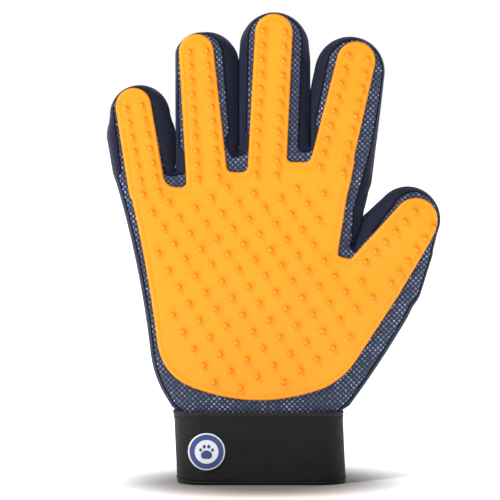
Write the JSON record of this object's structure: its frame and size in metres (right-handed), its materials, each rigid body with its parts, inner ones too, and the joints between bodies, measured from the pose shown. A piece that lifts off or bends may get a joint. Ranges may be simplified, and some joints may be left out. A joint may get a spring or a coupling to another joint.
{
  "type": "grooming glove",
  "caption": "Five-finger pet grooming glove: nubbed silicone pad on a mesh palm, knitted back and gussets, elastic cuff with a hook-and-loop strap; fingers flex.",
  "frame": {"origin": "centre of the wrist opening, at the lower edge of the cuff on which the glove stands", "axes": "+Z towards the fingertips, -Y out of the nubbed palm, +X towards the thumb"},
  "size_m": [0.1623, 0.0367, 0.2299],
  "materials": {
    "pad_silicone": "satin moulded silicone",
    "mesh_navy": "navy air mesh with pale dots",
    "knit_navy": "fine ribbed navy knit",
    "gusset_navy": "fine ribbed navy knit",
    "elastic_black": "woven black elastic with fine ribs",
    "lining_black": "soft black tricot",
    "binding_black": "black binding tape",
    "badge_print": "printed satin label",
    "loop_black": "fuzzy loop tape",
    "strap_black": "woven webbing",
    "hook_black": "hook tape"
  },
  "bodies": {
    "palm": {"palm_pad": "pad_silicone", "thumb_base_pad": "pad_silicone", "palm_mesh_panel": "mesh_navy", "palm_back_panel": "knit_navy", "outer_side_gusset": "gusset_navy", "index_side_gusset": "gusset_navy", "thumb_side_gusset": "gusset_navy", "web_little_ring": "gusset_navy", "web_ring_middle": "gusset_navy", "web_middle_index": "gusset_navy", "cuff_band": "elastic_black", "cuff_lining": "lining_black", "wrist_binding": "binding_black", "badge": "badge_print", "loop_patch": "loop_black", "strap_base": "strap_black"},
    "strap": {"wrist_strap": "strap_black", "hook_patch": "hook_black"},
    "little_root": {"little_root_pad": "pad_silicone", "little_root_mesh_panel": "mesh_navy", "little_root_back_panel": "knit_navy", "little_root_gusset": "gusset_navy"},
    "little_tip": {"little_tip_pad": "pad_silicone", "little_tip_mesh_panel": "mesh_navy", "little_tip_back_panel": "knit_navy", "little_tip_gusset": "gusset_navy"},
    "ring_root": {"ring_root_pad": "pad_silicone", "ring_root_mesh_panel": "mesh_navy", "ring_root_back_panel": "knit_navy", "ring_root_gusset": "gusset_navy"},
    "ring_tip": {"ring_tip_pad": "pad_silicone", "ring_tip_mesh_panel": "mesh_navy", "ring_tip_back_panel": "knit_navy", "ring_tip_gusset": "gusset_navy"},
    "middle_root": {"middle_root_pad": "pad_silicone", "middle_root_mesh_panel": "mesh_navy", "middle_root_back_panel": "knit_navy", "middle_root_gusset": "gusset_navy"},
    "middle_tip": {"middle_tip_pad": "pad_silicone", "middle_tip_mesh_panel": "mesh_navy", "middle_tip_back_panel": "knit_navy", "middle_tip_gusset": "gusset_navy"},
    "index_root": {"index_root_pad": "pad_silicone", "index_root_mesh_panel": "mesh_navy", "index_root_back_panel": "knit_navy", "index_root_gusset": "gusset_navy"},
    "index_tip": {"index_tip_pad": "pad_silicone", "index_tip_mesh_panel": "mesh_navy", "index_tip_back_panel": "knit_navy", "index_tip_gusset": "gusset_navy"},
    "thumb_root": {"thumb_root_pad": "pad_silicone", "thumb_root_mesh_panel": "mesh_navy", "thumb_root_back_panel": "knit_navy", "thumb_root_gusset": "gusset_navy"},
    "thumb_tip": {"thumb_tip_pad": "pad_silicone", "thumb_tip_mesh_panel": "mesh_navy", "thumb_tip_back_panel": "knit_navy", "thumb_tip_gusset": "gusset_navy"}
  },
  "joints": [
    {"name": "little_root_flex", "type": "hinge", "parent": "palm", "child": "little_root", "pos_m": [-0.057, -0.0148, 0.1525], "axis": [1, 0, 0], "range_deg": [0, 65], "stiffness_Nm_per_rad": 0.02},
    {"name": "little_middle_flex", "type": "hinge", "parent": "little_root", "child": "little_tip", "pos_m": [-0.057, -0.0148, 0.1663], "axis": [1, 0, 0], "range_deg": [0, 70], "stiffness_Nm_per_rad": 0.02},
    {"name": "ring_root_flex", "type": "hinge", "parent": "palm", "child": "ring_root", "pos_m": [-0.0258, -0.0148, 0.1663], "axis": [1, 0, 0], "range_deg": [0, 65], "stiffness_Nm_per_rad": 0.02},
    {"name": "ring_middle_flex", "type": "hinge", "parent": "ring_root", "child": "ring_tip", "pos_m": [-0.0258, -0.0148, 0.1868], "axis": [1, 0, 0], "range_deg": [0, 70], "stiffness_Nm_per_rad": 0.02},
    {"name": "middle_root_flex", "type": "hinge", "parent": "palm", "child": "middle_root", "pos_m": [0.007, -0.0148, 0.1683], "axis": [1, 0, 0], "range_deg": [0, 65], "stiffness_Nm_per_rad": 0.02},
    {"name": "middle_middle_flex", "type": "hinge", "parent": "middle_root", "child": "middle_tip", "pos_m": [0.007, -0.0148, 0.196], "axis": [1, 0, 0], "range_deg": [0, 70], "stiffness_Nm_per_rad": 0.02},
    {"name": "index_root_flex", "type": "hinge", "parent": "palm", "child": "index_root", "pos_m": [0.042, -0.0148, 0.1703], "axis": [1, 0, 0], "range_deg": [0, 65], "stiffness_Nm_per_rad": 0.02},
    {"name": "index_middle_flex", "type": "hinge", "parent": "index_root", "child": "index_tip", "pos_m": [0.042, -0.0148, 0.1907], "axis": [1, 0, 0], "range_deg": [0, 70], "stiffness_Nm_per_rad": 0.02},
    {"name": "thumb_root_flex", "type": "hinge", "parent": "palm", "child": "thumb_root", "pos_m": [0.0464, -0.0148, 0.1157], "axis": [0.8, 0, -0.6], "range_deg": [0, 50], "stiffness_Nm_per_rad": 0.02},
    {"name": "thumb_middle_flex", "type": "hinge", "parent": "thumb_root", "child": "thumb_tip", "pos_m": [0.0547, -0.0148, 0.1267], "axis": [0.8, 0, -0.6], "range_deg": [0, 60], "stiffness_Nm_per_rad": 0.02},
    {"name": "strap_peel", "type": "hinge", "parent": "palm", "child": "strap", "pos_m": [0.017, 0.0196, 0.017], "axis": [0, 0, -1], "range_deg": [0, 110], "stiffness_Nm_per_rad": 0.004}
  ]
}
